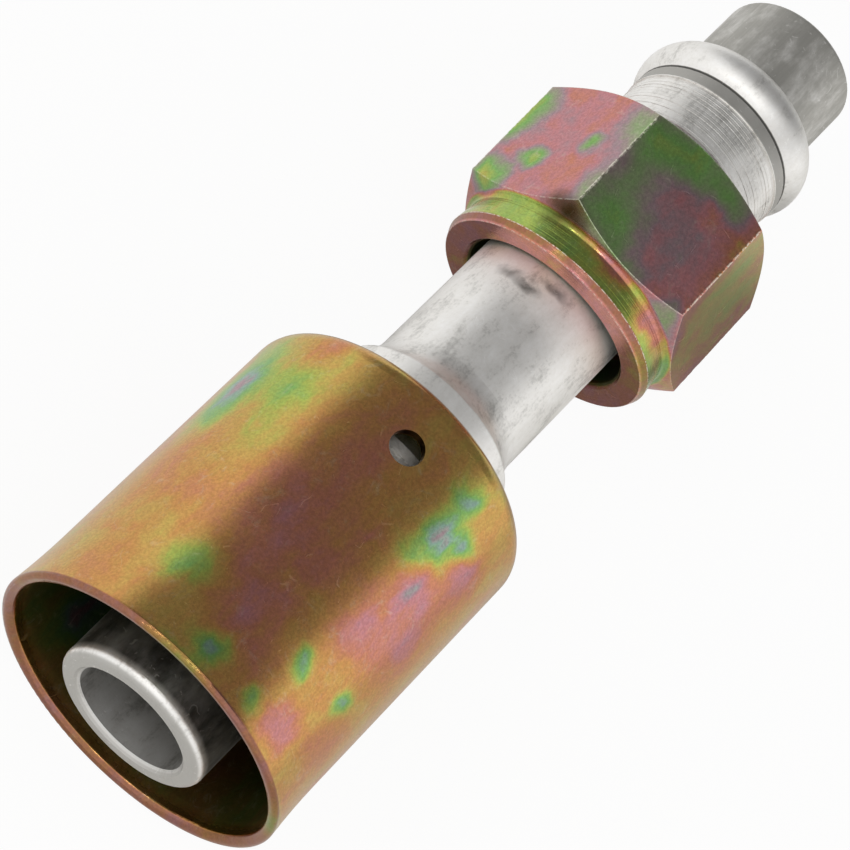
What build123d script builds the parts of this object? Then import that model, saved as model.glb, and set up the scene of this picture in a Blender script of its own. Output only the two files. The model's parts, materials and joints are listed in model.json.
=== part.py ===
from math import cos, radians, sin, sqrt, tan
from build123d import *
import os

# Crimp hose fitting for a 16 mm hose: a one-piece aluminium stem, a drawn steel ferrule held on it,
# and a loose steel nut. Millimetres. X runs along the stem from the plane of the ferrule's mouth to
# the pilot, Z is up, and the fitting lies on its side as it does on a bench.

# Ferrule, a drawn cup whose closed end is held by the stem
ferrule_length = 37.8
ferrule_radius = 16.4
ferrule_wall = 1.3
ferrule_end_rounding = 2.2
mouth_flare = 0.35
mouth_flare_length = 7.0
mouth_rounding = 0.45
mouth_inside_rounding = 0.8
sight_hole_diameter = 3.6
sight_hole_to_end = 6.9
sight_hole_count = 2
sight_hole_toward = 81.2

# Stem, insert side, inside the ferrule
bore_radius = 6.25
insert_radius = 8.5
insert_standout = 1.05
insert_nose_rounding = 0.9
insert_bore_chamfer = 0.45
barb_pitch = 5.4
barb_depth = 0.55
barb_land = 0.6
barb_start = 9.0
shoulder_radius = 10.5
shoulder_width = 2.4

# Stem, between the ferrule and the nut
seat_radius = 9.1
collar_radius = 10.5
collar_width = 4.5
collar_rounding = 0.3
collar_sweep = 3.9
neck_radius = 8.65

# Stem, outside the nut
ring_start = 82.8
ring_end = 89.6
ring_radius = 9.7
ring_ramp = 0.9
band_radius = 9.85
bead_place = 93.6
bead_radius = 10.8
bead_rounding = 2.95
bead_crease_width = 0.3
bead_crease_depth = 0.16
pilot_radius = 7.95
pilot_end = 106.6
pilot_end_rounding = 0.8
pilot_root_rounding = 0.6
pilot_bore_chamfer = 0.5

# Nut, in its own frame: places are counted from its rear face along its own axis
nut_place = 62.1
nut_drop = 0.87
nut_shift = 0.33
nut_lean = 8.6
nut_lean_toward = 71.0
nut_corner_toward = 60.0
nut_across_flats = 27.0
nut_length = 19.75
nut_chamfer_angle = 30.0
nut_chamfer_radius = 12.75
nut_hex_start = 3.65
nut_rim_radius = 13.1
nut_rim_bevel = 0.85
nut_rim_bevel_drop = 0.4
nut_land_fillet = 0.5
nut_bore_radius = 9.8
nut_bore_length = 4.6
nut_bore_chamfer = 0.5
thread_minor_radius = 11.19
thread_major_radius = 12.0
thread_relief_width = 2.2

# Clearance between the ferrule's end hole and its seat on the stem
ferrule_seat_clearance = 0.05

# Worked out
ferrule_inside = ferrule_radius - ferrule_wall
ferrule_end_inside = ferrule_length - ferrule_wall
sight_hole_place = ferrule_length - sight_hole_to_end
shoulder_start = ferrule_end_inside - shoulder_width
barb_count = int((shoulder_start - barb_start) // barb_pitch)
collar_end = ferrule_length + collar_width
neck_start = collar_end + collar_sweep
bead_centre = bead_radius - bead_rounding
bead_start = bead_place - sqrt(bead_rounding**2 - (band_radius - bead_centre) ** 2)
bead_end = bead_place + sqrt(bead_rounding**2 - (pilot_radius - bead_centre) ** 2)
nut_corner_radius = nut_across_flats / 2 / cos(radians(30))
nut_chamfer_slope = tan(radians(nut_chamfer_angle))


def corner(outline, x, r):
    """The vertex of an outline that lies nearest to a place along the axis and a radius."""
    return outline.vertices().sort_by_distance((x, r))[0]


# Ferrule
with BuildPart() as ferrule:
    with BuildSketch() as ferrule_outline:
        with BuildLine():
            outer = TangentArc(
                (mouth_flare_length, ferrule_radius),
                (0, ferrule_radius + mouth_flare),
                tangent=(-1, 0),
            )
            inner = TangentArc(
                (mouth_flare_length, ferrule_inside),
                (0, ferrule_inside + mouth_flare),
                tangent=(-1, 0),
            )
            Line(outer @ 1, inner @ 1)
            Polyline(
                outer @ 0,
                (ferrule_length, ferrule_radius),
                (ferrule_length, seat_radius + ferrule_seat_clearance),
                (ferrule_end_inside, seat_radius + ferrule_seat_clearance),
                (ferrule_end_inside, ferrule_inside),
                inner @ 0,
            )
        make_face()
        fillet(corner(ferrule_outline, ferrule_length, ferrule_radius), ferrule_end_rounding)
        fillet(
            corner(ferrule_outline, ferrule_end_inside, ferrule_inside),
            ferrule_end_rounding - ferrule_wall,
        )
        fillet(corner(ferrule_outline, 0, ferrule_radius + mouth_flare), mouth_rounding)
        fillet(
            corner(ferrule_outline, 0, ferrule_inside + mouth_flare), mouth_inside_rounding
        )
    revolve(axis=Axis.X)
    for hole in range(sight_hole_count):
        turn = radians(sight_hole_toward + hole * 360 / sight_hole_count)
        hole_plane = Plane(origin=(sight_hole_place, 0, 0), z_dir=(0, cos(turn), sin(turn)))
        with BuildSketch(hole_plane.offset(ferrule_radius + 1)):
            Circle(sight_hole_diameter / 2)
        extrude(amount=-(ferrule_wall + 2), mode=Mode.SUBTRACT)
ferrule.part.label = "ferrule"

# Stem
with BuildPart() as stem:
    with BuildSketch() as stem_outline:
        with BuildLine():
            barbs = [(barb_start, insert_radius)]
            for barb in range(barb_count):
                foot = barb_start + barb * barb_pitch
                barbs += [
                    (foot, insert_radius - barb_depth),
                    (foot + barb_pitch - barb_land, insert_radius),
                    (foot + barb_pitch, insert_radius),
                ]
            insert = Polyline(
                (-insert_standout, bore_radius),
                (-insert_standout, insert_radius),
                *barbs,
                (shoulder_start, insert_radius),
                (shoulder_start, shoulder_radius),
                (ferrule_end_inside, shoulder_radius),
                (ferrule_end_inside, seat_radius),
                (ferrule_length, seat_radius),
                (ferrule_length, collar_radius),
                (collar_end, collar_radius),
            )
            sweep_down = TangentArc(
                (neck_start, neck_radius), insert @ 1, tangent=(-1, 0)
            )
            rings = Polyline(
                sweep_down @ 0,
                (ring_start, neck_radius),
                (ring_start + ring_ramp, ring_radius),
                (ring_end, ring_radius),
                (ring_end, band_radius),
                (bead_start - bead_crease_width, band_radius),
                (bead_start - bead_crease_width / 2, band_radius - bead_crease_depth),
                (bead_start, band_radius),
            )
            bead = ThreePointArc(rings @ 1, (bead_place, bead_radius), (bead_end, pilot_radius))
            Polyline(
                bead @ 1,
                (pilot_end, pilot_radius),
                (pilot_end, bore_radius),
                (-insert_standout, bore_radius),
            )
        make_face()
        fillet(corner(stem_outline, -insert_standout, insert_radius), insert_nose_rounding)
        chamfer(corner(stem_outline, -insert_standout, bore_radius), insert_bore_chamfer)
        fillet(corner(stem_outline, collar_end, collar_radius), collar_rounding)
        fillet(corner(stem_outline, bead_end, pilot_radius), pilot_root_rounding)
        fillet(corner(stem_outline, pilot_end, pilot_radius), pilot_end_rounding)
        chamfer(corner(stem_outline, pilot_end, bore_radius), pilot_bore_chamfer)
    revolve(axis=Axis.X)
stem.part.label = "stem"

# Nut: it hangs loose on the neck, so its own axis leans a little from the stem's
lean_side = Vector(0, cos(radians(nut_lean_toward)), sin(radians(nut_lean_toward)))
shift_side = Vector(1, 0, 0).cross(lean_side)
nut_direction = Vector(cos(radians(nut_lean)), 0, 0) + lean_side * sin(radians(nut_lean))
nut_origin = Vector(nut_place, 0, 0) - lean_side * nut_drop + shift_side * nut_shift
nut_section = Plane(origin=nut_origin, x_dir=nut_direction, z_dir=shift_side)
nut_rear = Plane(origin=nut_origin, x_dir=nut_section.y_dir, z_dir=nut_direction)
nut_axis = Axis(nut_origin, nut_direction)
nut_chamfer_depth = (nut_corner_radius + 1 - nut_chamfer_radius) * nut_chamfer_slope

with BuildPart() as nut:
    with BuildSketch(nut_rear):
        RegularPolygon(
            nut_corner_radius, 6, rotation=nut_corner_toward - nut_lean_toward
        )
    extrude(amount=nut_length)
    with BuildSketch(nut_section) as envelope_outline:
        with BuildLine():
            Polyline(
                (0, 0),
                (0, nut_rim_radius - nut_rim_bevel_drop),
                (nut_rim_bevel, nut_rim_radius),
                (nut_hex_start, nut_chamfer_radius),
                (nut_hex_start + nut_chamfer_depth, nut_corner_radius + 1),
                (nut_length - nut_chamfer_depth, nut_corner_radius + 1),
                (nut_length, nut_chamfer_radius),
                (nut_length, 0),
                close=True,
            )
        make_face()
        fillet(corner(envelope_outline, nut_hex_start, nut_chamfer_radius), nut_land_fillet)
    revolve(axis=nut_axis, mode=Mode.INTERSECT)
    with BuildSketch(nut_section) as hollow_outline:
        with BuildLine():
            Polyline(
                (-1, 0),
                (-1, nut_bore_radius + nut_bore_chamfer + 1),
                (nut_bore_chamfer, nut_bore_radius),
                (nut_bore_length, nut_bore_radius),
                (nut_bore_length + thread_major_radius - nut_bore_radius, thread_major_radius),
                (nut_bore_length + thread_relief_width + thread_major_radius - nut_bore_radius,
                 thread_major_radius),
                (nut_bore_length + thread_relief_width + 2 * thread_major_radius
                 - nut_bore_radius - thread_minor_radius, thread_minor_radius),
                (nut_length - thread_major_radius + thread_minor_radius, thread_minor_radius),
                (nut_length + 1, thread_major_radius + 1),
                (nut_length + 1, 0),
                close=True,
            )
        make_face()
    revolve(axis=nut_axis, mode=Mode.SUBTRACT)
nut.part.label = "nut"

os.makedirs("parts", exist_ok=True)
for piece in (ferrule, stem, nut):
    export_step(piece.part, f"parts/{piece.part.label}.step")
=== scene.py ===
"""Looks of a crimp hose fitting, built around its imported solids.

Metres, X along the stem from the ferrule's mouth to the pilot, Z up.
"""

import json
from math import atan2, cos, pi, radians, sin, sqrt, tan

import bmesh
import bpy
from mathutils import Matrix, Vector, noise


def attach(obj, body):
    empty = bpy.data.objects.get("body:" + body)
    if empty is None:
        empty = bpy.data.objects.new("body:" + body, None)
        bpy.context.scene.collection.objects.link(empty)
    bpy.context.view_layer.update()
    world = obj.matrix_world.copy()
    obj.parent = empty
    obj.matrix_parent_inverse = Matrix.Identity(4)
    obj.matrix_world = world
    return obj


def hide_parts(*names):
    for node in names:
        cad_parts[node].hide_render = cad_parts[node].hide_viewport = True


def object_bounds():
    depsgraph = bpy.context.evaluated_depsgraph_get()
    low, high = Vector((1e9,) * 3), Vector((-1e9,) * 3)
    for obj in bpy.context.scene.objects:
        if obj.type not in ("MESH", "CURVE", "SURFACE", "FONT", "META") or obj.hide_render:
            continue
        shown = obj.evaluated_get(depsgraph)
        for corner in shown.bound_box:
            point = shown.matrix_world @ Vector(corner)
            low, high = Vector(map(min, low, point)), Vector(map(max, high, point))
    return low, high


bl_info = {
    "name": "Crimp hose fitting",
    "version": (1, 0, 0),
    "blender": (4, 5, 0),
    "location": "3D Viewport > Sidebar > Fitting",
    "description": "Finishes, nut, thread, turned rings and studio for a crimp hose fitting",
    "category": "Object",
}

MM = 0.001
# Settings of a Map Range node that fades softly
SMOOTH = {"interpolation_type": "SMOOTHSTEP"}
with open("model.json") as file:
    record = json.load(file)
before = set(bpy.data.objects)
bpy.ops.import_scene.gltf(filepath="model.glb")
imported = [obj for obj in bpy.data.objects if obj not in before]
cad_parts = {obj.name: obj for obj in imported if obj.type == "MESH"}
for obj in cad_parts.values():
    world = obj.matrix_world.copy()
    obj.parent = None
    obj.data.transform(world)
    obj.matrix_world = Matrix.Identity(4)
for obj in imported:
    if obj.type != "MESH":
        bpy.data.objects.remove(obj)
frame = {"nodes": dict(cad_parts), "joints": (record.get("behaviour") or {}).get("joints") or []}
cad_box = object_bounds()
nut_joint = frame["joints"][0]
ferrule_end = max(vertex.co.x for vertex in frame["nodes"]["ferrule"].data.vertices)


def linear(code):
    """The linear colour, with alpha, of an sRGB hex code such as '#c8b070'."""
    channels = [int(code[i:i + 2], 16) / 255 for i in (1, 3, 5)]
    return tuple(
        c / 12.92 if c <= 0.04045 else ((c + 0.055) / 1.055) ** 2.4 for c in channels
    ) + (1.0,)


def add_node(tree, kind, inputs=(), stops=(), **settings):
    """Add a node and set its properties and inputs.

    The inputs are a dict by socket name or number, or a tuple in the order of the sockets that the
    settings leave in use. A node among them stands for its first output in use.
    """
    made = tree.nodes.new(kind)
    for name, value in settings.items():
        setattr(made, name, value)
    if isinstance(inputs, dict):
        pairs = [(made.inputs[key], value) for key, value in inputs.items()]
    else:
        pairs = zip([socket for socket in made.inputs if socket.enabled], inputs)
    for socket, value in pairs:
        if isinstance(value, bpy.types.Node):
            value = next(output for output in value.outputs if output.enabled)
        if isinstance(value, bpy.types.NodeSocket):
            tree.links.new(value, socket)
        else:
            socket.default_value = value
    if stops:
        elements = made.color_ramp.elements
        while len(elements) < len(stops):
            elements.new(0.5)
        for element, (place, colour) in zip(elements, stops):
            element.position = place
            element.color = colour
    return made


def new_material(name):
    """An empty node material and its tree."""
    material = bpy.data.materials.new(name)
    material.use_nodes = True
    material.node_tree.nodes.clear()
    return material, material.node_tree


def summed(tree, start, *terms):
    """A value plus each term, which is another value and the factor that it is taken times."""
    for value, factor in terms:
        start = add_node(tree, "ShaderNodeMath", (value, factor, start), operation="MULTIPLY_ADD")
    return start


def laid_over(tree, colour, *layers):
    """A colour with others laid over it in turn: where each one lies, its share there, and what it is."""
    for where, share, over in layers:
        part = add_node(tree, "ShaderNodeMath", (where, share), operation="MULTIPLY")
        colour = add_node(tree, "ShaderNodeMix", (part, colour, over), data_type="RGBA")
    return colour


def object_coordinates(tree, stretch=(1, 1, 1)):
    """Object coordinates, which draw a pattern out along an axis whose factor is under 1."""
    coordinates = add_node(tree, "ShaderNodeTexCoord").outputs["Object"]
    return add_node(tree, "ShaderNodeMapping", {"Vector": coordinates, "Scale": stretch})


def grain(tree, size_mm, stretch=(1, 1, 1), detail=2.0, roughness=0.5, distortion=0.0):
    """Noise whose blotches are about size_mm across."""
    return add_node(
        tree,
        "ShaderNodeTexNoise",
        {
            "Vector": object_coordinates(tree, stretch),
            "Scale": 1 / (size_mm * MM),
            "Detail": detail,
            "Roughness": roughness,
            "Distortion": distortion,
        },
    )


def wavy_coordinates(tree, push_mm, size_mm):
    """Object coordinates pushed about by a slow noise, which gives patches soft and odd edges."""
    push = grain(tree, size_mm, detail=3.0).outputs["Color"]
    centred = add_node(tree, "ShaderNodeVectorMath", (push, (0.5, 0.5, 0.5)), operation="SUBTRACT")
    return add_node(
        tree,
        "ShaderNodeVectorMath",
        (centred, (2 * push_mm * MM,) * 3, object_coordinates(tree)),
        operation="MULTIPLY_ADD",
    )


def patch(tree, coordinates, centre, size_mm, length):
    """1 at a centre in millimetres, fading to 0 at the patch's size, or its size times length along X."""
    centre = [c * MM for c in centre]
    moved = add_node(tree, "ShaderNodeVectorMath", (coordinates, centre), operation="SUBTRACT")
    scaled = add_node(
        tree, "ShaderNodeVectorMath", (moved, (1 / length, 1, 1)), operation="MULTIPLY"
    )
    far = add_node(tree, "ShaderNodeVectorMath", (scaled,), operation="LENGTH")
    return add_node(tree, "ShaderNodeMapRange", (far, 0.0, size_mm * MM, 1.0, 0.0), **SMOOTH)


def within(tree, value, start, end, soft):
    """1 where a value lies between two ends, with soft edges."""
    after = add_node(tree, "ShaderNodeMapRange", (value, start - soft, start + soft), **SMOOTH)
    before = add_node(tree, "ShaderNodeMapRange", (value, end - soft, end + soft, 1.0, 0.0), **SMOOTH)
    return add_node(tree, "ShaderNodeMath", (after, before), operation="MULTIPLY")


def hairlines(tree, size_mm, width, amount):
    """Short curved scratches, 1 on a line: the level curves of a slow noise, kept in some areas only."""
    level = grain(tree, size_mm, detail=1.5)
    slope = add_node(tree, "ShaderNodeMath", (level, 0.5), operation="SUBTRACT")
    off = add_node(tree, "ShaderNodeMath", (slope,), operation="ABSOLUTE")
    line = add_node(tree, "ShaderNodeMapRange", (off, 0.0, width, 1.0, 0.0), **SMOOTH)
    areas = grain(tree, 0.45 * size_mm)
    kept_above = 0.64 - 0.1 * amount
    kept = add_node(tree, "ShaderNodeMapRange", (areas, kept_above, kept_above + 0.06), **SMOOTH)
    return add_node(tree, "ShaderNodeMath", (line, kept), operation="MULTIPLY")


def about_axis(tree, origin, axis):
    """Two values of a place on the surface: how far it is along an axis, and how far out from it."""
    coordinates = object_coordinates(tree)
    moved = add_node(tree, "ShaderNodeVectorMath", (coordinates, origin), operation="SUBTRACT")
    along = add_node(tree, "ShaderNodeVectorMath", (moved, axis), operation="DOT_PRODUCT")
    on_axis = add_node(tree, "ShaderNodeVectorMath", (axis, along), operation="SCALE")
    across = add_node(tree, "ShaderNodeVectorMath", (moved, on_axis), operation="SUBTRACT")
    out = add_node(tree, "ShaderNodeVectorMath", (across,), operation="LENGTH")
    return along, out


def turning_marks(tree, along, out, spacing_mm):
    """Rings that a turning tool leaves: the same all round, uneven from ring to ring."""
    place = add_node(tree, "ShaderNodeMath", (along, out), operation="ADD")
    return add_node(
        tree,
        "ShaderNodeTexNoise",
        {"W": place, "Scale": 1 / (spacing_mm * MM), "Detail": 2.0, "Roughness": 0.7},
        noise_dimensions="1D",
    )


def metal_surface(tree, colour, roughness, height, strength, depth_mm):
    """The surface of a metal, with its fine relief, as the material's output."""
    bump = add_node(
        tree, "ShaderNodeBump", {"Height": height, "Strength": strength, "Distance": depth_mm * MM}
    )
    shader = add_node(
        tree,
        "ShaderNodeBsdfPrincipled",
        {"Base Color": colour, "Metallic": 1.0, "Roughness": roughness, "Normal": bump},
    )
    add_node(tree, "ShaderNodeOutputMaterial", {"Surface": shader})


def zinc_film(
    name, finishes, stops, base, amount, streak, patches, bands, painted_shade, roughness, origin, axis, inside
):
    """Yellow passivated zinc plate on steel.

    The clear chromate film over the zinc is a fraction of a micrometre thick and uneven, so the metal
    shows soft bands of gold, pink, green and teal, in the order in which a film's colours follow. On
    sharp edges it is rubbed through to paler zinc. Inside a piece the plate is thin and dull, and it is
    darkened there as painted shade. Bands and patches of a dark colour are laid on as painted shade too.

    The film's thickness counts in turns through the stops, base is its mean and amount how far its
    streaks change it. Streak is their size in millimetres and their stretch. The last band ends where
    the turned surface does. Inside is the radius of the hollow and how far along the axis it goes.
    """
    material, tree = new_material(name)
    along, out = about_axis(tree, origin, axis)
    inside_radius, inside_end = inside
    near_axis = add_node(
        tree, "ShaderNodeMapRange", (out, inside_radius, inside_radius + 0.18 * MM, 1.0, 0.0), **SMOOTH
    )
    before_end = add_node(
        tree, "ShaderNodeMapRange", (along, inside_end - 0.3 * MM, inside_end, 1.0, 0.0), **SMOOTH
    )
    hollow = add_node(tree, "ShaderNodeMath", (near_axis, before_end), operation="MULTIPLY")

    streak_size, streak_stretch = streak
    streaks = grain(
        tree, streak_size, stretch=(streak_stretch, 1, 1), detail=5.0, roughness=0.62, distortion=0.5
    )
    clouds = grain(tree, 2.8, stretch=(0.7, 1, 1), distortion=0.8)
    cloud_amount = 0.3
    flecks = grain(tree, 1.1, detail=4.0, roughness=0.7)
    fleck_amount = 0.14
    # A noise is about a half on average, so half of its amount comes off the base
    thickness = summed(
        tree,
        base - 0.5 * (amount + cloud_amount + fleck_amount),
        (streaks, amount),
        (clouds, cloud_amount),
        (flecks, fleck_amount),
        (hollow, -0.15),
    )
    wavy = wavy_coordinates(tree, 1.8, 5.0)
    for centre, size, length, shift in patches:
        thickness = summed(tree, thickness, (patch(tree, wavy, centre, size, length), shift))
    dull = summed(tree, roughness - 0.07, (grain(tree, 4.0, detail=3.0), 0.14))
    # Painted shade: the share of the dark colour, laid on bands and patches that mirror darker or lie in
    # shaded corners
    painted_shade_share = 0.0
    for start, end, shift, smoother, dirt_and_shade in bands:
        band = within(tree, along, start * MM, end * MM, 0.12 * MM)
        thickness = summed(tree, thickness, (band, shift))
        dull = summed(tree, dull, (band, -smoother))
        painted_shade_share = summed(tree, painted_shade_share, (band, dirt_and_shade))
    for centre, size, length, share in painted_shade:
        shade_patch = patch(tree, wavy, centre, size, length)
        shade_patch = add_node(tree, "ShaderNodeMath", (shade_patch, share), operation="MULTIPLY")
        painted_shade_share = add_node(tree, "ShaderNodeMath", (painted_shade_share, shade_patch), operation="MAXIMUM")
    order = add_node(tree, "ShaderNodeMath", (thickness,), operation="FRACT")
    film = add_node(tree, "ShaderNodeValToRGB", (order,), stops)

    # The real plate's speckle is finer, and is as coarse as it needs to be to show
    speckle = grain(tree, 0.3, detail=3.0, roughness=0.7)
    speckle = add_node(tree, "ShaderNodeMapRange", (speckle, 0.3, 0.7, 0.84, 1.1), **SMOOTH)
    # Painted shade: the inside of a hollow piece is darkened to three tenths
    shade = add_node(tree, "ShaderNodeMapRange", (hollow, 0.0, 1.0, 1.0, 0.3), **SMOOTH)
    light = add_node(tree, "ShaderNodeMath", (speckle, shade), operation="MULTIPLY")
    mottled = add_node(tree, "ShaderNodeVectorMath", (film, light), operation="SCALE")
    long_lines = hairlines(tree, 5.0, 0.007, 0.5)
    short_lines = hairlines(tree, 2.6, 0.008, 0.1)
    lines = add_node(tree, "ShaderNodeMath", (long_lines, short_lines), operation="MAXIMUM")
    scuffs = grain(tree, 2.0, detail=6.0, roughness=0.75, distortion=1.6)
    scuffs = add_node(tree, "ShaderNodeMapRange", (scuffs, 0.54, 0.72), **SMOOTH)
    pale = summed(tree, 0.0, (lines, 0.1), (scuffs, 0.2))
    wear = add_node(tree, "ShaderNodeAttribute", attribute_name="edge_wear").outputs["Fac"]
    bitten = grain(tree, 0.4, detail=3.0, roughness=0.7)
    bare = add_node(tree, "ShaderNodeMapRange", (bitten, 0.4, 0.58), **SMOOTH)
    rubbed = add_node(tree, "ShaderNodeMath", (wear, bare), operation="MULTIPLY")
    colour = laid_over(
        tree,
        mottled,
        (pale, 1.0, finishes.scratch),
        # the dark colour laid on as painted shade
        (painted_shade_share, 1.0, finishes.painted_shade),
        (rubbed, 1.0, finishes.bare_zinc),
    )

    dull = summed(tree, dull, (lines, 0.1), (hollow, 0.25), (rubbed, 0.2))
    turned_end = bands[-1][1] * MM
    turned = add_node(
        tree, "ShaderNodeMapRange", (along, turned_end, turned_end + 0.2 * MM, 1.0, 0.0), **SMOOTH
    )
    marks = turning_marks(tree, along, out, 0.16)
    marks = add_node(tree, "ShaderNodeMath", (marks, turned), operation="MULTIPLY")
    nicks = add_node(tree, "ShaderNodeMath", (wear, bitten), operation="MULTIPLY")
    fine = grain(tree, 0.3, detail=3.0, roughness=0.65)
    height = summed(tree, 0.0, (fine, 0.5), (nicks, 3.0), (marks, 2.2))
    metal_surface(tree, colour, dull, height, 0.35, 0.03)
    return material


# Smears on the stem: centre in millimetres, size, length along X as a factor of the size, and share of
# grime
STEM_SMEARS = (
    ((59.3, 1.6, 8.5), 2.6, 0.4, 0.7),
    ((57.6, 4.0, 7.7), 2.4, 0.3, 0.7),
    ((58.2, 6.0, 6.2), 2.2, 0.5, 0.6),
    ((92.8, -3.5, 10.2), 5.0, 1.0, 0.32),
    ((85.5, -5.0, 8.3), 3.4, 1.4, 0.3),
)


def satin_aluminium(name, finishes, sizes):
    """Drawn and turned aluminium, left bare.

    Drawing leaves fine lines along the tube, turning leaves rings on the section before the bead and on
    the end faces, and handling leaves a grey, softly mottled satin with short bright scratches. The
    pilot is the darkest, because it is drawn down the most.
    """
    material, tree = new_material(name)
    along, out = about_axis(tree, (0, 0, 0), (1, 0, 0))
    # Real drawing lines and pits are finer, and these are as coarse as they need to be to show
    drawn = grain(tree, 0.3, stretch=(0.03, 1, 1), detail=4.0, roughness=0.6)
    pit = grain(tree, 0.4, detail=3.0, roughness=0.7)
    blotch = grain(tree, 3.0, stretch=(0.5, 1, 1), detail=5.0, roughness=0.65, distortion=0.15)
    tone = summed(tree, -0.42, (blotch, 0.95), (drawn, 0.2), (pit, 0.4))
    metal = add_node(
        tree,
        "ShaderNodeValToRGB",
        (tone,),
        stops=(
            (0.05, finishes.aluminium_stain_and_shade),
            (0.32, finishes.aluminium),
            (0.6, finishes.aluminium_bright),
        ),
    )

    root = sizes.pilot_start
    pilot = add_node(tree, "ShaderNodeMapRange", (along, root - 0.8 * MM, root + 0.8 * MM), **SMOOTH)
    lined = add_node(tree, "ShaderNodeMapRange", (drawn, 0.35, 0.75, 1.0, 0.86), **SMOOTH)
    cloudy = add_node(tree, "ShaderNodeMapRange", (blotch, 0.42, 0.66, 1.0, 0.55), **SMOOTH)
    streaky = add_node(tree, "ShaderNodeMath", (lined, cloudy), operation="MULTIPLY")
    drawn_down = add_node(tree, "ShaderNodeMath", (pilot, streaky), operation="MULTIPLY")
    # Painted shade: the band between the rings and the bead is laid grey for the darker reflection it
    # gives
    band = within(tree, along, sizes.ring_end + 0.5 * MM, sizes.bead_start, 0.05 * MM)
    face = add_node(tree, "ShaderNodeMapRange", (along, -0.6 * MM, -0.9 * MM), **SMOOTH)
    wall = sizes.stem_bore
    # Painted shade inside the flow bore
    bore = add_node(
        tree, "ShaderNodeMapRange", (out, wall + 0.05 * MM, wall + 0.2 * MM, 1.0, 0.0), **SMOOTH
    )
    outside = add_node(tree, "ShaderNodeMapRange", (out, wall + 0.3 * MM, wall + 0.5 * MM), **SMOOTH)
    behind_nose = add_node(tree, "ShaderNodeMapRange", (along, -0.2 * MM, 0.6 * MM), **SMOOTH)
    cup = sizes.ferrule_length
    in_cup = add_node(tree, "ShaderNodeMapRange", (along, 0.8 * cup, 0.92 * cup, 1.0, 0.0), **SMOOTH)
    # Painted shade, blotchy, on the tube inside the ferrule's cup, from behind the nose to near the cup's
    # end
    cup_shade = add_node(tree, "ShaderNodeMapRange", (blotch, 0.3, 0.7, 0.95, 0.6), **SMOOTH)
    for limit in (behind_nose, in_cup, outside):
        cup_shade = add_node(tree, "ShaderNodeMath", (cup_shade, limit), operation="MULTIPLY")
    # Painted shade in the crease before the bead
    crease = within(tree, along, sizes.bead_start - 0.3 * MM, sizes.bead_start, 0.04 * MM)
    wavy = wavy_coordinates(tree, 0.9, 1.6)
    # The band, the bore, the tube in the cup and the crease get painted shade; the end face is laid
    # darker
    metal = laid_over(
        tree,
        metal,
        (drawn_down, 1.0, finishes.drawn_aluminium),
        (band, 0.9, finishes.aluminium_stain_and_shade),
        (face, 0.85, finishes.aluminium_stain_and_shade),
        (bore, 0.3, finishes.grime_and_shade),
        (cup_shade, 1.0, finishes.grime_and_shade),
        (crease, 0.85, finishes.grime_and_shade),
    )
    for centre, size, length, share in STEM_SMEARS:
        metal = laid_over(tree, metal, (patch(tree, wavy, centre, size, length), share, finishes.grime_and_shade))
    long_lines = hairlines(tree, 3.4, 0.01, 0.7)
    short_lines = hairlines(tree, 1.3, 0.02, 0.5)
    lines = add_node(tree, "ShaderNodeMath", (long_lines, short_lines), operation="MAXIMUM")
    colour = laid_over(tree, metal, (lines, 0.35, finishes.aluminium_bright))

    handled = within(tree, along, sizes.handled_start, sizes.handled_end, 1.5 * MM)
    pilot_or_band = add_node(tree, "ShaderNodeMath", (pilot, band), operation="MAXIMUM")
    dull = summed(tree, 0.35, (blotch, 0.2), (handled, 0.12), (pilot_or_band, 0.12))
    section = within(
        tree, along, sizes.ring_start - 1.1 * MM, sizes.ring_end + 0.3 * MM, 0.1 * MM
    )
    turned = add_node(tree, "ShaderNodeMath", (face, section), operation="MAXIMUM")
    marks = turning_marks(tree, along, out, 0.35)
    marks = add_node(tree, "ShaderNodeMath", (marks, turned), operation="MULTIPLY")
    height = summed(tree, drawn, (pit, 0.6), (lines, -0.4), (marks, 2.0))
    metal_surface(tree, colour, dull, height, 0.4, 0.04)
    return material


def dress(piece, material):
    """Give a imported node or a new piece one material."""
    piece.data.materials.clear()
    piece.data.materials.append(material)


def nut_frame():
    """The nut's own frame: X along its axis from its rear face, and the angle of a corner about it."""
    axis = Vector(nut_joint["axis"]).normalized()
    lean_side = Vector((0, axis.y, axis.z)).normalized()
    up = (lean_side * axis.x - Vector((1, 0, 0)) * axis.dot(lean_side)).normalized()
    side = axis.cross(up)
    matrix = Matrix((axis, up, side)).transposed().to_4x4()
    matrix.translation = Vector(nut_joint["pos_m"])
    return matrix, atan2(lean_side.z, lean_side.y)


def geometry_tree(name, entries):
    """A geometry tree with named inputs for the entries, and the outputs of its input node."""
    tree = bpy.data.node_groups.new(name, "GeometryNodeTree")
    for entry, value in entries.items():
        kind = "NodeSocketInt" if isinstance(value, int) else "NodeSocketFloat"
        tree.interface.new_socket(entry, in_out="INPUT", socket_type=kind)
    tree.interface.new_socket("Geometry", in_out="OUTPUT", socket_type="NodeSocketGeometry")
    return tree, add_node(tree, "NodeGroupInput").outputs


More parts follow.
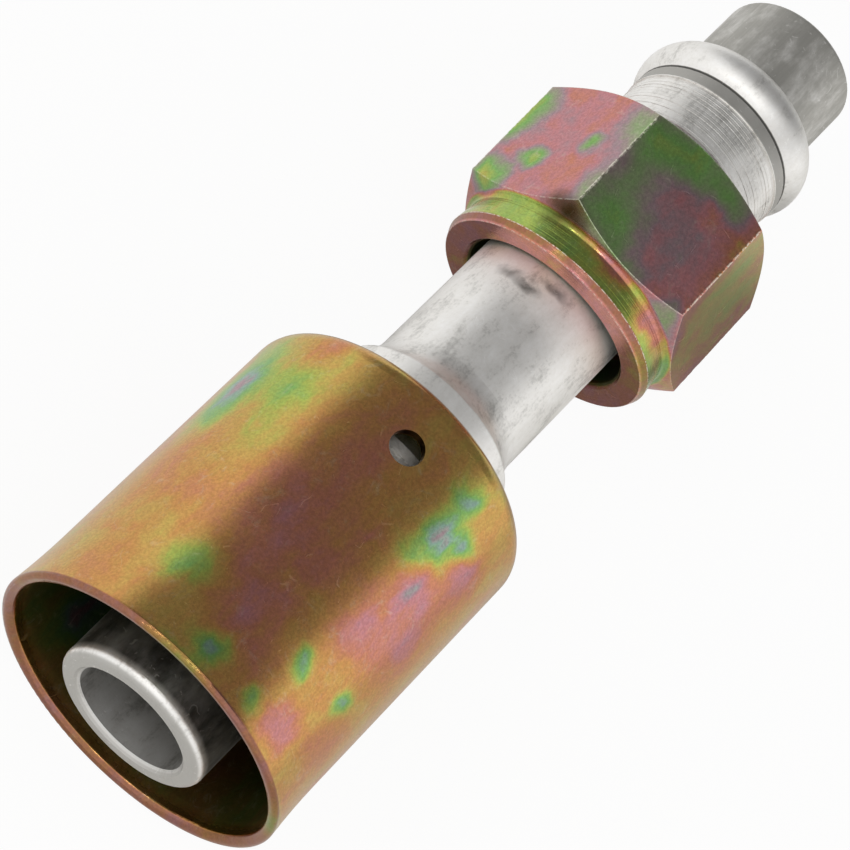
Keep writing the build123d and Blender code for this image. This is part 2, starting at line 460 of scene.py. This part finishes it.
def made_by(tree, geometry, entries, material):
    """The piece that a geometry tree makes, as a plain mesh of one material."""
    material = bpy.data.materials[material]
    real = add_node(tree, "GeometryNodeRealizeInstances", {"Geometry": geometry})
    dressed = add_node(tree, "GeometryNodeSetMaterial", {"Geometry": real, "Material": material})
    add_node(tree, "NodeGroupOutput", {"Geometry": dressed})
    piece = bpy.data.objects.new(tree.name, bpy.data.meshes.new(tree.name))
    bpy.context.scene.collection.objects.link(piece)
    modifier = piece.modifiers.new(tree.name, "NODES")
    modifier.node_group = tree
    for socket in tree.interface.items_tree:
        if socket.in_out == "INPUT":
            modifier[socket.identifier] = entries[socket.name]
    evaluated = piece.evaluated_get(bpy.context.evaluated_depsgraph_get())
    mesh = bpy.data.meshes.new_from_object(evaluated)
    piece.modifiers.clear()
    piece.data = mesh
    return piece


def length_property(name, description, millimetres):
    """A length that can be set in the panel, with its default given in millimetres."""
    return bpy.props.FloatProperty(
        name=name, description=description, default=millimetres * MM, unit="LENGTH"
    )


def angle_property(name, description, degrees):
    """An angle that can be set in the panel, with its default given in degrees."""
    return bpy.props.FloatProperty(
        name=name, description=description, default=radians(degrees), unit="ROTATION"
    )


def direction_property(name, description, direction):
    """A direction that can be set in the panel."""
    return bpy.props.FloatVectorProperty(
        name=name, description=description, default=direction, subtype="DIRECTION"
    )


def colour_property(name, description, code):
    """A colour that can be set in the panel, with its default as an sRGB hex code."""
    return bpy.props.FloatVectorProperty(
        name=name, description=description, default=linear(code), size=4, min=0, max=1, subtype="COLOR"
    )


class FittingSizes(bpy.types.PropertyGroup):
    """Sizes of the nut, its thread and the turned rings, and of what the finishes follow."""

    across_flats: length_property("Across flats", "Nut width across its flats", 27)
    corner_toward: angle_property(
        "Corner toward", "Angle of one nut corner about the stem, from Y towards Z", 60
    )
    nut_length: length_property("Nut length", "Length of the nut along its axis", 19.75)
    hex_start: length_property(
        "Hexagon start", "Distance from the rear face to the start of the hexagon's cone", 3.65
    )
    chamfer_angle: angle_property(
        "Chamfer angle", "Angle of the hexagon's end cones against its end planes", 30
    )
    chamfer_radius: length_property("Chamfer radius", "Radius where the end cones start", 12.75)
    rim_radius: length_property("Rim radius", "Radius of the rim at the rear", 13.1)
    rim_bevel: length_property("Rim bevel", "Width of the bevel on the rim's rear edge", 0.85)
    rim_bevel_drop: length_property("Rim bevel drop", "How far the bevel takes the rear face in", 0.4)
    land_fillet: length_property(
        "Land fillet", "Radius between the land behind the rim and the hexagon's cone", 0.5
    )
    bore_radius: length_property("Bore radius", "Radius of the hole for the neck", 9.8)
    bore_length: length_property("Bore length", "Length of the hole for the neck", 4.6)
    bore_chamfer: length_property("Bore chamfer", "Chamfer at the rear of the bore", 0.5)
    thread_minor: length_property("Thread crest radius", "Minor radius of the thread", 11.19)
    thread_major: length_property("Thread root radius", "Major radius of the thread", 12)
    thread_pitch: length_property("Thread pitch", "Distance from turn to turn", 1.5)
    thread_relief: length_property("Thread relief", "Length without thread behind the last turn", 2.2)
    thread_run_out: length_property("Thread run-out", "Length without thread at the front", 0.3)
    edge_rounding: length_property("Edge rounding", "Radius of the worn hexagon edges", 0.22)
    soft_edge: length_property("Soft edge", "Radius of the nut's other edges", 0.12)
    nick_depth: length_property("Nick depth", "Depth of the nicks in the edges", 0.05)
    ferrule_length: length_property("Ferrule length", "Length of the ferrule", ferrule_end / MM)
    ferrule_inside: length_property("Ferrule inside", "Inside radius of the ferrule", 15.1)
    stem_bore: length_property("Stem bore", "Radius of the flow bore", 6.25)
    handled_start: length_property("Handled start", "Place where the neck's duller part starts", 55)
    handled_end: length_property("Handled end", "Place where the neck's duller part ends", 64)
    ring_start: length_property("First ring", "Place of the first turned ring", 84)
    ring_end: length_property("Last ring", "Place of the last turned ring", 89.2)
    ring_radius: length_property("Ring radius", "Radius of the turned section", 9.7)
    ring_pitch: length_property("Ring pitch", "Distance from ring to ring", 0.5)
    ring_height: length_property("Ring height", "Half thickness of a ring's ridge", 0.03)
    bead_start: length_property("Bead start", "Place where the bead starts", 91.43)
    pilot_start: length_property("Pilot start", "Place where the pilot starts", 96.4)


class FittingFinishes(bpy.types.PropertyGroup):
    """Colours of the zinc's film, from thin to thick, and of the bare metals."""

    gold: colour_property("Gold", "Film colour: gold", "#c6a65c")
    orange: colour_property("Orange", "Film colour: orange", "#ca9459")
    salmon: colour_property("Salmon", "Film colour: salmon", "#c8846a")
    pink: colour_property("Pink", "Film colour: pink", "#c4868a")
    mauve: colour_property("Mauve", "Film colour: mauve grey", "#a88e94")
    teal: colour_property("Teal", "Film colour: teal grey", "#8caa9a")
    green: colour_property("Green", "Film colour: green", "#84b266")
    lime: colour_property("Lime", "Film colour: lime", "#aab85c")
    # A dark colour laid on the plated pieces as painted shade: in the corner of the nut's cone, on its
    # rim's bevel and on the ferrule's lip
    painted_shade: colour_property("Shade", "Oil held in the corners of the plated pieces", "#3c3a22")
    scratch: colour_property("Scratch", "Zinc where it is scratched", "#e2dcc8")
    bare_zinc: colour_property("Bare zinc", "Zinc where the film is rubbed off", "#e9e4d4")
    aluminium: colour_property("Aluminium", "Satin aluminium", "#f0eeea")
    aluminium_bright: colour_property("Bright aluminium", "Rubbed aluminium", "#fbfaf8")
    # Also laid grey as painted shade on the band between the rings and the bead
    aluminium_stain_and_shade: colour_property("Stained aluminium", "Stains on the aluminium", "#b2b0ab")
    drawn_aluminium: colour_property("Drawn aluminium", "Aluminium of the pilot", "#b0aea8")
    # Besides the smears, laid as painted shade in the flow bore, on the tube inside the cup and in the
    # crease
    grime_and_shade: colour_property("Grime", "Dark dirt and oil on the aluminium", "#4a4946")


class StudioSettings(bpy.types.PropertyGroup):
    """Camera, lamps and backdrop."""

    target: bpy.props.FloatVectorProperty(
        name="Target", description="Point the camera looks at", default=(43.07 * MM, 0, 0), subtype="XYZ"
    )
    toward: direction_property(
        "Toward camera", "Direction from the target to the camera", (-0.4879, 0.1516, 0.8597)
    )
    upward: direction_property(
        "Upward", "Direction that points up in the picture", (0.6172, 0.7563, 0.2170)
    )
    distance: length_property("Distance", "Distance of the camera", 315.8)
    lens: bpy.props.FloatProperty(
        name="Lens", description="Focal length on a 36 mm sensor", default=136.0, unit="CAMERA"
    )
    wall_level: bpy.props.FloatProperty(
        name="Wall level", description="Brightness of the studio's white walls", default=1.04, min=0
    )
    ceiling_level: bpy.props.FloatProperty(
        name="Ceiling level", description="Brightness of the studio's dark side", default=0.235, min=0
    )
    dark_side: direction_property(
        "Dark side", "Direction of the middle of the dark side", (0.787, 0.107, 0.608)
    )
    dark_spread: angle_property(
        "Dark spread", "Angle from the middle of the dark side to its edge", 46
    )
    left_lamp: direction_property(
        "Left lamp", "Direction from the target to the left lamp", (-0.323, 0.621, 0.715)
    )
    right_lamp: direction_property(
        "Right lamp", "Direction from the target to the right lamp", (-0.35, 0.17, 0.92)
    )
    lamp_size: length_property("Lamp size", "Diameter of a lamp", 70)
    lamp_distance: length_property("Lamp distance", "Distance of a lamp from the target", 600)
    lamp_power: bpy.props.FloatProperty(
        name="Lamp power", description="Power of a lamp", default=0.12, min=0, subtype="POWER"
    )


class FITTING_OT_finish_stem(bpy.types.Operator):
    """Give the stem its bare satin aluminium"""

    bl_idname = "fitting.finish_stem"
    bl_label = "Finish stem"

    def execute(self, context):
        scene = context.scene
        material = satin_aluminium("satin_aluminium", scene.fitting_finishes, scene.fitting_sizes)
        dress(frame["nodes"]["stem"], material)
        return {"FINISHED"}


class FITTING_OT_turned_rings(bpy.types.Operator):
    """Lay the fine turned rings on the section before the bead"""

    bl_idname = "fitting.turned_rings"
    bl_label = "Turned rings"

    def execute(self, context):
        sizes = context.scene.fitting_sizes
        length = sizes.ring_end - sizes.ring_start
        # Each ring's radius is a little more or less than the section's, as the tool left it
        entries = {
            "Start": sizes.ring_start,
            "Length": length,
            "Count": round(length / sizes.ring_pitch) + 1,
            "Radius": sizes.ring_radius,
            "Smallest": 0.9972,
            "Largest": 1.0022,
            "Height": sizes.ring_height,
        }
        tree, given = geometry_tree("stem_turned_rings", entries)
        last = add_node(tree, "ShaderNodeMath", (given["Start"], given["Length"]), operation="ADD")
        start = add_node(tree, "ShaderNodeCombineXYZ", {"X": given["Start"]})
        end = add_node(tree, "ShaderNodeCombineXYZ", {"X": last})
        places = add_node(
            tree,
            "GeometryNodeMeshLine",
            {"Count": given["Count"], "Start Location": start, "Offset": end},
            mode="END_POINTS",
        )
        circle = add_node(
            tree, "GeometryNodeCurvePrimitiveCircle", {"Resolution": 144, "Radius": given["Radius"]}
        )
        section = add_node(
            tree, "GeometryNodeCurvePrimitiveCircle", {"Resolution": 6, "Radius": given["Height"]}
        )
        ring = add_node(tree, "GeometryNodeCurveToMesh", {"Curve": circle, "Profile Curve": section})
        turned = add_node(
            tree, "GeometryNodeTransform", {"Geometry": ring, "Rotation": (0, pi / 2, 0)}
        )
        size = add_node(
            tree,
            "FunctionNodeRandomValue",
            {2: given["Smallest"], 3: given["Largest"], "Seed": 4},
            data_type="FLOAT",
        )
        rings = add_node(
            tree,
            "GeometryNodeInstanceOnPoints",
            {"Points": places, "Instance": turned, "Scale": size},
        )
        piece = made_by(tree, rings, entries, "satin_aluminium")
        piece.data.shade_smooth()
        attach(piece, "fitting")
        return {"FINISHED"}


# Patches of a plated piece's film: centre in millimetres, size, length along X as a factor of the size,
# and change of the film's thickness
FERRULE_PATCHES = (
    ((27.5, 15.9, 3.8), 4.4, 2.6, -0.50),
    ((29.5, 13.6, 8.8), 5.0, 2.0, -0.24),
    ((34.2, 13.2, 9.6), 3.2, 1.1, 0.24),
    ((17.2, 15.0, 6.7), 4.8, 1.5, 0.14),
    ((14.6, 12.3, 10.8), 3.2, 1.5, 0.18),
    ((18.0, 4.8, 15.5), 8.5, 2.4, 0.26),
    ((7.0, 1.0, 16.3), 5.0, 1.4, 0.16),
    ((8.0, 8.6, 14.0), 4.6, 1.1, -0.36),
    ((2.9, 2.6, 16.1), 3.0, 1.0, -0.52),
    ((8.7, -4.5, 15.8), 2.2, 1.2, -0.50),
    ((2.8, -3.7, 16.0), 2.4, 1.0, -0.38),
    ((10.6, -10.5, 12.6), 2.3, 1.2, -0.42),
    ((32.5, -4.9, 15.7), 3.4, 1.0, -0.44),
    ((28.0, -5.9, 15.3), 4.2, 1.1, -0.50),
    ((24.3, -4.3, 15.8), 2.8, 1.0, -0.30),
    ((30.0, -8.6, 14.0), 2.6, 1.0, -0.40),
    ((22.6, -7.6, 14.5), 3.8, 1.2, 0.38),
    ((17.0, -6.4, 15.1), 4.8, 1.6, 0.28),
    ((28.0, -11.0, 12.2), 3.8, 1.3, 0.22),
    ((18.8, -10.6, 12.5), 5.6, 1.6, 0.30),
    ((3.6, -7.2, 14.7), 3.6, 1.1, 0.34),
    ((3.0, -11.8, 11.5), 3.0, 1.0, -0.14),
    ((30.0, -15.0, -6.5), 7.0, 1.6, -0.50),
    ((12.0, -12.0, -11.0), 6.0, 2.0, 0.30),
    ((22.0, -2.0, -16.2), 6.5, 1.5, -0.34),
    ((9.0, 9.0, -13.7), 5.0, 1.6, -0.48),
    ((27.0, 13.0, -10.0), 7.0, 1.3, 0.30),
    ((-0.3, 3.5, 16.0), 6.5, 0.3, -0.40),
    ((-0.3, -14.0, 8.0), 6.0, 0.3, -0.42),
)
# Bands of a plated piece's film: start and end along its axis in millimetres, change of the film's
# thickness, how much smoother the band is, and its share of the dark colour laid on as painted shade
# The ferrule's lip is darkened with painted shade, for the darker reflection along its edge
FERRULE_BANDS = ((-0.5, 0.55, 0.20, 0.06, 0.5),)


class FITTING_OT_finish_ferrule(bpy.types.Operator):
    """Give the ferrule its yellow passivated zinc plate"""

    bl_idname = "fitting.finish_ferrule"
    bl_label = "Finish ferrule"

    def execute(self, context):
        sizes = context.scene.fitting_sizes
        film = context.scene.fitting_finishes
        material = zinc_film(
            "yellow_zinc_on_drawn_steel",
            film,
            stops=(
                (0.00, film.gold),
                (0.13, film.orange),
                (0.27, film.salmon),
                (0.40, film.pink),
                (0.50, film.mauve),
                (0.60, film.teal),
                (0.72, film.green),
                (0.86, film.lime),
                (1.00, film.gold),
            ),
            base=1.08,
            amount=0.54,
            streak=(7.0, 0.45),
            patches=FERRULE_PATCHES,
            bands=FERRULE_BANDS,
            painted_shade=(),
            roughness=0.24,
            origin=(0, 0, 0),
            axis=(1, 0, 0),
            inside=(sizes.ferrule_inside + 0.1 * MM, sizes.ferrule_length - 0.5 * MM),
        )
        dress(frame["nodes"]["ferrule"], material)
        return {"FINISHED"}


NUT_PATCHES = (
    ((75.5, 16.2, 0.4), 5.4, 1.5, 0.78),
    ((78.2, 13.4, 5.4), 2.6, 0.8, -0.12),
    ((69.5, 12.6, 5.2), 2.5, 1.0, 0.66),
    ((72.4, 10.0, 10.4), 2.0, 1.2, 0.54),
    ((66.6, 14.2, 1.8), 3.6, 1.0, 0.74),
    ((73.0, 12.0, 7.0), 4.5, 1.5, 0.06),
    ((75.3, 6.2, 14.9), 6.6, 1.2, 0.56),
    ((78.0, 0.8, 15.1), 5.8, 0.8, 0.48),
    ((78.4, -3.8, 15.2), 4.6, 0.8, 0.40),
    ((66.8, 4.3, 13.9), 6.0, 1.1, 0.54),
    ((64.6, 0.0, 13.3), 4.0, 0.9, 0.34),
    ((71.0, -1.4, 14.2), 4.6, 1.2, 0.14),
    ((69.0, -5.0, 13.9), 4.6, 1.2, 0.12),
    ((73.0, -12.0, 8.0), 13.0, 1.5, -0.26),
    ((76.5, -8.9, 12.9), 4.5, 1.8, -0.16),
    ((64.0, -6.5, 11.0), 4.4, 0.9, 0.38),
    ((64.6, -10.0, 8.4), 4.6, 0.9, 0.38),
    ((65.6, -7.4, 12.2), 2.6, 0.6, 0.20),
    ((69.0, -1.0, -16.0), 6.0, 1.4, 0.50),
    ((76.0, 9.0, -12.5), 6.0, 1.0, -0.24),
    ((70.0, -14.0, -5.0), 5.5, 1.3, 0.46),
)
NUT_BANDS = (
    (-0.5, 0.2, -0.06, 0.0, 0.0),
    # The rim's bevel is darkened with painted shade, so that it mirrors darker
    (0.2, 0.9, -0.1, 0.0, 0.42),
    (0.9, 4.0, -0.36, 0.09, 0.0),
)
# Painted shade on the nut, in the corner where the land's cone meets the hexagon: centre, size and length
# as for the patches, and share
NUT_PAINTED_SHADE = (((64.3, 7.3, 11.2), 3.9, 0.55, 0.95),)


class FITTING_OT_nut(bpy.types.Operator):
    """Build the nut with worn, nicked edges in place of its plain solid"""

    bl_idname = "fitting.nut"
    bl_label = "Nut"

    def execute(self, context):
        sizes = context.scene.fitting_sizes
        film = context.scene.fitting_finishes
        matrix, lean_toward = nut_frame()
        piece = bpy.data.objects.new("nut_body", nut_mesh(sizes, matrix, lean_toward))
        context.scene.collection.objects.link(piece)
        material = zinc_film(
            "yellow_zinc_on_turned_steel",
            film,
            stops=(
                (0.00, film.salmon),
                (0.13, film.pink),
                (0.25, film.mauve),
                (0.60, film.green),
                (0.78, film.lime),
                (0.91, film.gold),
                (1.00, film.salmon),
            ),
            base=1.10,
            amount=0.34,
            streak=(6.0, 0.8),
            patches=NUT_PATCHES,
            bands=NUT_BANDS,
            painted_shade=NUT_PAINTED_SHADE,
            roughness=0.22,
            origin=matrix.translation,
            axis=nut_joint["axis"],
            inside=(sizes.bore_radius + 0.1 * MM, sizes.nut_length),
        )
        dress(piece, material)
        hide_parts("nut")
        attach(piece, "nut")
        return {"FINISHED"}


def nut_mesh(sizes, matrix, lean_toward):
    """The nut's closed mesh, with the wear of its edges as an attribute."""
    mesh = bpy.data.meshes.new("nut_body")
    build = bmesh.new()
    rings = []
    wear = []
    for turn, off in nut_turns(sizes.corner_toward - lean_toward):
        row = nut_section(sizes, turn, off)
        rings.append([
            build.verts.new(matrix @ Vector((s, r * cos(turn), r * sin(turn)))) for s, r, _ in row
        ])
        wear += [worn for _, _, worn in row]
    for here, there in zip(rings, rings[1:] + rings[:1]):
        for i in range(len(here)):
            k = (i + 1) % len(here)
            build.faces.new((here[i], here[k], there[k], there[i]))
    bmesh.ops.recalc_face_normals(build, faces=build.faces)
    build.to_mesh(mesh)
    build.free()
    mesh.attributes.new("edge_wear", "FLOAT", "POINT").data.foreach_set("value", wear)
    mesh.shade_smooth()
    mesh.set_sharp_from_angle(angle=radians(32))
    return mesh


def nut_turns(first_corner):
    """Angles about the nut's axis, closest near its six corners, each with its angle off a corner."""
    beside = (0.2, 0.4, 0.6, 0.8, 1.4, 2.4, 3.6)
    near = (*(-off for off in reversed(beside)), 0, *beside)
    wide = [7.5 + 3.75 * i for i in range(13)]
    turns = []
    for corner in range(6):
        for off in (*near, *wide):
            turn = first_corner + radians(60 * corner + off)
            turns.append((turn, radians(off if off < 30 else off - 60)))
    return turns


def rounded(before, corner, after, radius, worn, steps=4):
    """Points (place, radius, wear) of an arc that rounds a corner, and one more on each side of it."""
    before, corner, after = Vector(before), Vector(corner), Vector(after)
    back = (before - corner).normalized()
    on = (after - corner).normalized()
    half = back.angle(on) / 2
    reach = radius / tan(half)
    centre = corner + (back + on).normalized() * radius / sin(half)
    first = corner + back * reach - centre
    last = corner + on * reach - centre
    turn = first.angle(last)
    beside = reach + 0.35 * radius
    points = [(*(corner + back * beside), 0.0)]
    for i in range(steps + 1):
        share = i / steps
        arm = (first * sin((1 - share) * turn) + last * sin(share * turn)) / sin(turn)
        points.append((*(centre + arm), worn))
    points.append((*(corner + on * beside), 0.0))
    return points


def nut_section(sizes, turn, off):
    """Points (distance from the rear face, radius, wear) round the nut's section at one angle."""
    flat = sizes.across_flats / 2
    rounding = sizes.edge_rounding
    centre = (flat - rounding) / cos(radians(30))
    side = centre * sin(abs(off))
    if side < rounding * sin(radians(30)):
        hexagon = centre * cos(off) + sqrt(rounding**2 - side**2)
    else:
        hexagon = flat / cos(radians(30) - abs(off))
    depth = (hexagon - sizes.chamfer_radius) * tan(sizes.chamfer_angle)
    start = sizes.hex_start + depth
    end = sizes.nut_length - depth
    face_edge = (0.0, sizes.rim_radius - sizes.rim_bevel_drop)
    rim_edge = (sizes.rim_bevel, sizes.rim_radius)
    land_end = (sizes.hex_start, sizes.chamfer_radius)
    first, last = (start, hexagon), (end, hexagon)
    front = (sizes.nut_length, sizes.chamfer_radius)
    mouth = (sizes.nut_length, sizes.thread_major)
    bore_edge = (0.0, sizes.bore_radius + sizes.bore_chamfer)
    bore_start = (sizes.bore_chamfer, sizes.bore_radius)
    bore_end = (sizes.bore_length, sizes.bore_radius)
    soft = sizes.soft_edge

    # The last number that each edge is given is how far its film is rubbed off
    points = [(*bore_end, 0.0)]
    points += rounded(bore_end, bore_start, bore_edge, soft, 0.0)
    points += rounded(bore_start, bore_edge, face_edge, soft, 0.2)
    points += rounded(bore_edge, face_edge, rim_edge, soft, 0.3)
    points += rounded(face_edge, rim_edge, land_end, soft, 0.8)
    points += rounded(rim_edge, land_end, first, sizes.land_fillet, 0.0, steps=8)
    points += rounded(land_end, first, last, soft, 0.25)

    # The ridge between two flats is worn most on its top, and has points close enough for its nicks
    full_wear, no_wear = radians(0.3), radians(0.7)
    ridge = 0.75 * min(1.0, max(0.0, (no_wear - abs(off)) / (no_wear - full_wear)))
    edge_points, margin = 90, 0.02
    for i in range(1, edge_points):
        s = start + (end - start) * (margin + (1 - 2 * margin) * i / edge_points)
        points.append((s, hexagon - nick(s, turn, off, sizes.nick_depth), ridge))
    points += rounded(first, last, front, soft, 0.25)
    points += rounded(last, front, mouth, soft, 0.25)
    points.append((*mouth, 0.0))

    relief_start = sizes.bore_length + sizes.thread_major - sizes.bore_radius
    wall_points = 5
    for i in range(1, wall_points + 1):
        s = sizes.nut_length + (relief_start - sizes.nut_length) * i / wall_points
        points.append((s, sizes.thread_major, 0.0))
    return points


def nick(s, turn, off, depth):
    """How deep a corner is nicked at a place along it; flats away from the corner stay whole."""
    reach = radians(1.6)
    spacing = 0.3 * MM
    # How far from each other the corners are in the noise, so that no two are nicked alike
    apart = 7
    # The noise lies about zero, and this much is added so that more than half of a corner is nicked
    more = 0.2
    near = max(0.0, 1 - abs(off) / reach)
    bite = noise.noise(Vector((s / spacing, apart * cos(turn), apart * sin(turn))))
    return depth * near * max(0.0, bite + more)


class FITTING_OT_nut_thread(bpy.types.Operator):
    """Cut the thread inside the nut"""

    bl_idname = "fitting.nut_thread"
    bl_label = "Nut thread"

    def execute(self, context):
        sizes = context.scene.fitting_sizes
        first = sizes.bore_length + sizes.thread_major - sizes.bore_radius + sizes.thread_relief
        height = sizes.nut_length - first - sizes.thread_run_out
        entries = {
            "Radius": sizes.thread_major,
            "Height": height,
            "Turns": height / sizes.thread_pitch,
            "Depth": sizes.thread_major - sizes.thread_minor,
        }
        tree, given = geometry_tree("nut_thread", entries)
        spiral = add_node(
            tree,
            "GeometryNodeCurveSpiral",
            {
                "Resolution": 72,
                "Rotations": given["Turns"],
                "Start Radius": given["Radius"],
                "End Radius": given["Radius"],
                "Height": given["Height"],
            },
        )
        level = add_node(tree, "GeometryNodeSetCurveNormal", {"Curve": spiral}, mode="Z_UP")
        ridge = add_node(
            tree, "GeometryNodeCurvePrimitiveCircle", {"Resolution": 4, "Radius": given["Depth"]}
        )
        swept = add_node(
            tree, "GeometryNodeCurveToMesh", {"Curve": level, "Profile Curve": ridge, "Fill Caps": True}
        )
        turned = add_node(
            tree, "GeometryNodeTransform", {"Geometry": swept, "Rotation": (0, pi / 2, 0)}
        )
        piece = made_by(tree, turned, entries, "yellow_zinc_on_turned_steel")
        matrix, _ = nut_frame()
        piece.data.transform(matrix @ Matrix.Translation((first, 0, 0)))
        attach(piece, "nut")
        return {"FINISHED"}


class FITTING_OT_stage(bpy.types.Operator):
    """Set the floor, the studio light and the camera"""

    bl_idname = "fitting.stage"
    bl_label = "Stage"

    def execute(self, context):
        studio = context.scene.fitting_studio
        lay_floor(context.scene, cad_box[0].z)
        light_studio(context.scene, studio)
        camera = bpy.data.objects.new("camera", bpy.data.cameras.new("camera"))
        camera.data.lens = studio.lens
        camera.data.clip_start = 10 * MM
        back = Vector(studio.toward).normalized()
        up = (Vector(studio.upward) - back * back.dot(Vector(studio.upward))).normalized()
        right = up.cross(back)
        camera.matrix_world = (
            Matrix.Translation(Vector(studio.target) + back * studio.distance)
            @ Matrix((right, up, back)).transposed().to_4x4()
        )
        context.scene.collection.objects.link(camera)
        context.scene.camera = camera
        context.scene.view_settings.view_transform = "Standard"
        return {"FINISHED"}


# Painted shadows on the floor, which only the metal's reflections show, under the neck and beside the
# nut: start, end and softness in millimetres along X, then along Y
DARK_ZONES = (
    ((46, 66, 6), (-26, 18, 8)),
    ((82, 108, 8), (-56, -24, 8)),
)


def lay_floor(scene, level):
    """A pale matt floor, white to the camera, that keeps a trace of the shadow.

    In the metal it shows a painted pool of light on the left and painted shadows under the neck and
    beside the nut.
    """
    whiteness = 0.93
    darkening = 0.62
    reach = 2.0
    mesh = bpy.data.meshes.new("floor")
    corners = [(x * reach, y * reach, level) for x, y in ((-1, -1), (1, -1), (1, 1), (-1, 1))]
    mesh.from_pydata(corners, [], [(0, 1, 2, 3)])
    floor = bpy.data.objects.new("floor", mesh)
    scene.collection.objects.link(floor)
    material, tree = new_material("pale_matt_board")
    ray = add_node(tree, "ShaderNodeLightPath").outputs
    place = add_node(tree, "ShaderNodeSeparateXYZ", (object_coordinates(tree),)).outputs
    # Painted light: in reflections the floor glows brighter towards +Y
    painted_daylight = add_node(
        tree, "ShaderNodeMapRange", (place["Y"], -10 * MM, 40 * MM, 0.08, 0.85), **SMOOTH
    )
    mirrored = add_node(
        tree, "ShaderNodeMath", (ray["Is Glossy Ray"], painted_daylight), operation="MULTIPLY"
    )
    seen = add_node(tree, "ShaderNodeMath", (ray["Is Camera Ray"], mirrored), operation="MAXIMUM")
    white_share = add_node(tree, "ShaderNodeMath", (seen, whiteness), operation="MULTIPLY")
    matt = add_node(tree, "ShaderNodeBsdfDiffuse", {"Color": linear("#f4f3f0")})
    white = add_node(tree, "ShaderNodeEmission", {"Color": linear("#ffffff"), "Strength": 1.0})
    lit = add_node(tree, "ShaderNodeMixShader", (white_share, matt, white))

    # Painted shadows: in reflections the floor is darkened in these zones
    dark_share = 0.0
    for along_x, along_y in DARK_ZONES:
        in_x = within(tree, place["X"], *(value * MM for value in along_x))
        in_y = within(tree, place["Y"], *(value * MM for value in along_y))
        zone = add_node(tree, "ShaderNodeMath", (in_x, in_y), operation="MULTIPLY")
        dark_share = add_node(tree, "ShaderNodeMath", (dark_share, zone), operation="MAXIMUM")
    for factor in (darkening, ray["Is Glossy Ray"]):
        dark_share = add_node(tree, "ShaderNodeMath", (dark_share, factor), operation="MULTIPLY")
    dark = add_node(tree, "ShaderNodeEmission", {"Color": linear("#000000"), "Strength": 0.0})
    shaded = add_node(tree, "ShaderNodeMixShader", (dark_share, lit, dark))
    add_node(tree, "ShaderNodeOutputMaterial", {"Surface": shaded})
    dress(floor, material)


def light_studio(scene, studio):
    """White walls with one dark side above the pilot, as metal is lit, and lamps for the highlights."""
    world = bpy.data.worlds.new("studio")
    scene.world = world
    world.use_nodes = True
    tree = world.node_tree
    tree.nodes.clear()
    ray = add_node(tree, "ShaderNodeLightPath").outputs
    direction = add_node(tree, "ShaderNodeTexCoord").outputs["Generated"]
    toward_dark = add_node(
        tree, "ShaderNodeVectorMath", (direction, studio.dark_side), operation="DOT_PRODUCT"
    )
    # The dark side's edge is soft, between these two cosines
    edge = cos(studio.dark_spread)
    outer, inner = edge - 0.09, edge + 0.07
    level = add_node(
        tree,
        "ShaderNodeMapRange",
        (toward_dark, outer, inner, studio.wall_level, studio.ceiling_level),
        **SMOOTH,
    )
    level = add_node(tree, "ShaderNodeMix", (ray["Is Camera Ray"], level, 1.0), data_type="FLOAT")
    background = add_node(
        tree, "ShaderNodeBackground", {"Color": linear("#ffffff"), "Strength": level}
    )
    add_node(tree, "ShaderNodeOutputWorld", {"Surface": background})
    for name in ("left_lamp", "right_lamp"):
        place = Vector(getattr(studio, name))
        lamp = bpy.data.lights.new(name, "AREA")
        lamp.shape = "DISK"
        lamp.size = studio.lamp_size
        lamp.energy = studio.lamp_power
        made = bpy.data.objects.new(name, lamp)
        made.location = Vector(studio.target) + place * studio.lamp_distance
        made.rotation_euler = place.to_track_quat("Z", "Y").to_euler()
        scene.collection.objects.link(made)


class FITTING_PT_pieces(bpy.types.Panel):
    """Lists the steps that dress the fitting"""

    bl_label = "Crimp hose fitting"
    bl_space_type = "VIEW_3D"
    bl_region_type = "UI"
    bl_category = "Fitting"

    def draw(self, context):
        for step in STEPS:
            self.layout.operator(step.bl_idname)
        scene = context.scene
        for group in (scene.fitting_sizes, scene.fitting_finishes, scene.fitting_studio):
            for name in group.__annotations__:
                self.layout.prop(group, name)


STEPS = (
    FITTING_OT_finish_stem,
    FITTING_OT_turned_rings,
    FITTING_OT_finish_ferrule,
    FITTING_OT_nut,
    FITTING_OT_nut_thread,
    FITTING_OT_stage,
)
CLASSES = (FittingSizes, FittingFinishes, StudioSettings, *STEPS, FITTING_PT_pieces)


def register():
    for item in CLASSES:
        bpy.utils.register_class(item)
    bpy.types.Scene.fitting_sizes = bpy.props.PointerProperty(type=FittingSizes)
    bpy.types.Scene.fitting_finishes = bpy.props.PointerProperty(type=FittingFinishes)
    bpy.types.Scene.fitting_studio = bpy.props.PointerProperty(type=StudioSettings)


def unregister():
    del bpy.types.Scene.fitting_studio
    del bpy.types.Scene.fitting_finishes
    del bpy.types.Scene.fitting_sizes
    for item in reversed(CLASSES):
        bpy.utils.unregister_class(item)


def main():
    register()
    bpy.ops.fitting.finish_stem()
    bpy.ops.fitting.turned_rings()
    bpy.ops.fitting.finish_ferrule()
    bpy.ops.fitting.nut()
    bpy.ops.fitting.nut_thread()
    bpy.ops.fitting.stage()


if __name__ == "__main__":
    main()
